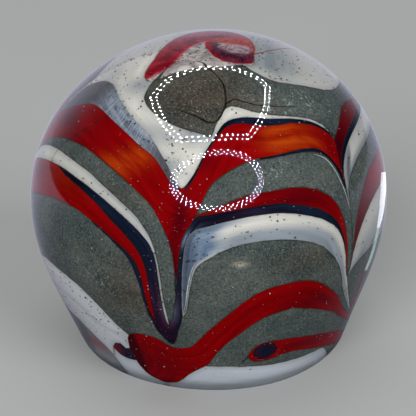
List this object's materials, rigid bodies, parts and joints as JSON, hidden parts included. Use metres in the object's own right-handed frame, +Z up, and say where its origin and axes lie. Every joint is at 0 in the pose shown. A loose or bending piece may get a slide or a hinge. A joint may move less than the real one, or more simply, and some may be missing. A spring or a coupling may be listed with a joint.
{
  "type": "paperweight",
  "caption": "Solid art glass paperweight: round clear body on a flat ground base, with combed red, navy, cream and grey glass trails over an opaque core.",
  "frame": {"origin": "on the base plane, below the middle of the belly", "axes": "+Z up, -Y out of the front, +X to the right seen from the front"},
  "size_m": [0.0858, 0.0858, 0.0772],
  "materials": {
    "clear_glass": "polished, water clear, seed bubbles near the colour",
    "red_glass": "opaque streaky red, striking to orange in places, under clear glass",
    "navy_glass": "opaque dark navy with purple streaks, under clear glass",
    "white_glass": "opaque cream white with ash specks, under clear glass",
    "mica_grey_glass": "grey glass with mica flecks and brown clouds, under clear glass",
    "smoky_glass": "smoky translucent grey, under clear glass",
    "mist_glass": "milky blue grey veil, under clear glass",
    "eye_glass": "mauve white with streaks, under clear glass"
  },
  "bodies": {
    "root": {"clear_casing": "clear_glass", "core_gather": "mica_grey_glass", "base_disc": "white_glass", "swirl_eye": "eye_glass", "red_swirl": "red_glass", "white_crown": "white_glass", "upper_grey_band": "mica_grey_glass", "mist_streak": "mist_glass", "navy_arch_trail": "navy_glass", "upper_red_trail": "red_glass", "navy_hairline": "navy_glass", "middle_grey_band": "mica_grey_glass", "middle_white_trail": "white_glass", "middle_navy_trail": "navy_glass", "navy_fringe": "navy_glass", "middle_red_trail": "red_glass", "far_red_trail": "red_glass", "far_navy_trail": "navy_glass", "far_white_trail": "white_glass", "far_grey_band": "mica_grey_glass", "far_lower_red_trail": "red_glass", "far_lower_white_trail": "white_glass", "grey_field": "mica_grey_glass", "side_grey_wedge": "mica_grey_glass", "side_white_trail": "white_glass", "smoky_base_patch": "smoky_glass", "dark_trail_tip": "navy_glass", "lower_red_trail": "red_glass", "lower_grey_band": "mica_grey_glass", "short_red_trail": "red_glass", "navy_spot": "navy_glass", "base_grey_strip": "mica_grey_glass", "base_white_trail": "white_glass"}
  },
  "joints": []
}
